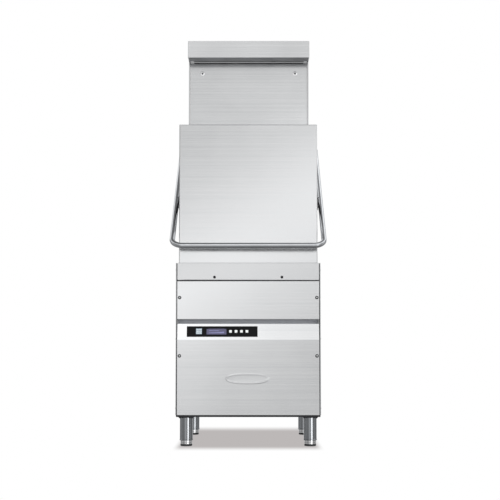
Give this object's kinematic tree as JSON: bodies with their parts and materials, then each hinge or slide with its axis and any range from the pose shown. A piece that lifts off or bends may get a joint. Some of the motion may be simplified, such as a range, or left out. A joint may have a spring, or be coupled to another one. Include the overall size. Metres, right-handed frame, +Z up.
{
  "type": "commercial dishwasher",
  "caption": "Pass-through commercial dishwasher with a lifting hood, a wrap-around handle and a rear condenser tower, in brushed stainless steel.",
  "frame": {"origin": "on the floor under the middle of the bounding box", "axes": "+Z up, the front panels and the handle bar face -Y, +X to the right of a person facing the machine"},
  "size_m": [0.718, 0.8374, 2.012],
  "materials": {
    "brushed_sheet": "brushed stainless sheet, fine grain",
    "bright_steel": "satin polished stainless tube and pressings",
    "dark_screw": "blackened screw",
    "foot_plastic": "satin moulded foot",
    "black_overlay": "gloss black membrane",
    "display": "blue liquid crystal under a clear window",
    "circuit_board": "solder-masked board",
    "key_white": "satin moulded key",
    "grey_plastic": "moulded grey plastic",
    "brass": "cast brass",
    "black_plastic": "moulded black plastic",
    "nylon": "natural nylon",
    "copper": "copper tube and fins"
  },
  "bodies": {
    "machine_body": {"base_tray": "brushed_sheet", "corner_posts": "brushed_sheet", "side_panel_left": "brushed_sheet", "side_panel_right": "brushed_sheet", "rear_panel": "brushed_sheet", "front_rim_panel": "brushed_sheet", "upper_front_panel": "brushed_sheet", "lower_front_panel": "brushed_sheet", "electrical_box": "brushed_sheet", "splash_panel": "brushed_sheet", "tower_shell": "brushed_sheet", "tower_front_cover": "brushed_sheet", "tower_cap": "brushed_sheet", "legs": "bright_steel", "panel_screws": "bright_steel", "wash_tank": "bright_steel", "rack_rails": "bright_steel", "tank_filters": "bright_steel", "pump_strainer": "bright_steel", "boiler": "bright_steel", "wash_riser": "bright_steel", "rinse_pipe": "bright_steel", "hood_guides": "bright_steel", "tank_heater": "bright_steel", "counterbalance_springs": "bright_steel", "rim_screws": "dark_screw", "levelling_feet": "foot_plastic", "control_overlay": "black_overlay", "display_window": "display", "control_board": "circuit_board", "wash_pump": "grey_plastic", "drain_pump": "grey_plastic", "dosing_pumps": "grey_plastic", "arm_nuts": "grey_plastic", "condenser_fan": "grey_plastic", "inlet_valve": "brass", "cable_gland": "black_plastic", "outlet_strip": "black_plastic", "shaft_bushes": "nylon", "heat_exchanger": "copper"},
    "hood": {"hood_shell": "brushed_sheet", "hood_liner": "brushed_sheet", "hood_channels": "black_plastic", "hood_glides": "nylon"},
    "handle": {"handle_bar": "bright_steel", "pivot_shaft": "bright_steel", "spring_levers": "brushed_sheet", "handle_glides": "black_plastic"},
    "start_button": {"start_button": "key_white"},
    "key_1": {"key_1": "key_white"},
    "key_2": {"key_2": "key_white"},
    "key_3": {"key_3": "key_white"},
    "key_4": {"key_4": "key_white"},
    "lower_wash_arm": {"lower_wash_arm": "bright_steel"},
    "upper_wash_arm": {"upper_wash_arm": "bright_steel"},
    "lower_rinse_arm": {"lower_rinse_arm": "bright_steel"},
    "upper_rinse_arm": {"upper_rinse_arm": "bright_steel"},
    "fan_wheel": {"fan_wheel": "black_plastic"},
    "pump_rotor": {"pump_rotor": "bright_steel"},
    "overflow_pipe": {"overflow_pipe": "bright_steel"}
  },
  "joints": [
    {"name": "hood_lift", "type": "slide", "parent": "machine_body", "child": "hood", "axis": [0, 0, 1], "range_m": [0, 0.435]},
    {"name": "handle_swing", "type": "hinge", "parent": "machine_body", "child": "handle", "pos_m": [0, 0.31375, 1.462], "axis": [-1, 0, 0], "range_deg": [0, 49.86], "deforming": ["counterbalance_springs"]},
    {"name": "start_button_press", "type": "slide", "parent": "machine_body", "child": "start_button", "axis": [0, 0.9585, -0.285], "range_m": [0, 0.0015], "stiffness_N_per_m": 300, "springref_m": -0.0015},
    {"name": "key_1_press", "type": "slide", "parent": "machine_body", "child": "key_1", "axis": [0, 0.9585, -0.285], "range_m": [0, 0.0015], "stiffness_N_per_m": 300, "springref_m": -0.0015},
    {"name": "key_2_press", "type": "slide", "parent": "machine_body", "child": "key_2", "axis": [0, 0.9585, -0.285], "range_m": [0, 0.0015], "stiffness_N_per_m": 300, "springref_m": -0.0015},
    {"name": "key_3_press", "type": "slide", "parent": "machine_body", "child": "key_3", "axis": [0, 0.9585, -0.285], "range_m": [0, 0.0015], "stiffness_N_per_m": 300, "springref_m": -0.0015},
    {"name": "key_4_press", "type": "slide", "parent": "machine_body", "child": "key_4", "axis": [0, 0.9585, -0.285], "range_m": [0, 0.0015], "stiffness_N_per_m": 300, "springref_m": -0.0015},
    {"name": "lower_wash_arm_spin", "type": "hinge", "parent": "machine_body", "child": "lower_wash_arm", "pos_m": [0, -0.01025, 0.825], "axis": [0, 0, 1], "continuous": true},
    {"name": "upper_wash_arm_spin", "type": "hinge", "parent": "machine_body", "child": "upper_wash_arm", "pos_m": [0, -0.01025, 1.34], "axis": [0, 0, 1], "continuous": true},
    {"name": "lower_rinse_arm_spin", "type": "hinge", "parent": "machine_body", "child": "lower_rinse_arm", "pos_m": [0, -0.01025, 0.825], "axis": [0, 0, 1], "continuous": true},
    {"name": "upper_rinse_arm_spin", "type": "hinge", "parent": "machine_body", "child": "upper_rinse_arm", "pos_m": [0, -0.01025, 1.34], "axis": [0, 0, 1], "continuous": true},
    {"name": "fan_spin", "type": "hinge", "parent": "machine_body", "child": "fan_wheel", "pos_m": [0, 0.34625, 1.865], "axis": [0, 0, 1], "continuous": true},
    {"name": "pump_spin", "type": "hinge", "parent": "machine_body", "child": "pump_rotor", "pos_m": [0, 0.17375, 0.25], "axis": [1, 0, 0], "continuous": true},
    {"name": "overflow_pipe_lift", "type": "slide", "parent": "machine_body", "child": "overflow_pipe", "axis": [0, 0, 1], "range_m": [0, 0.2]}
  ],
  "couplings": [
    {"joint": "handle_swing", "follows": "hood_lift", "rad_per_m": 2}
  ]
}
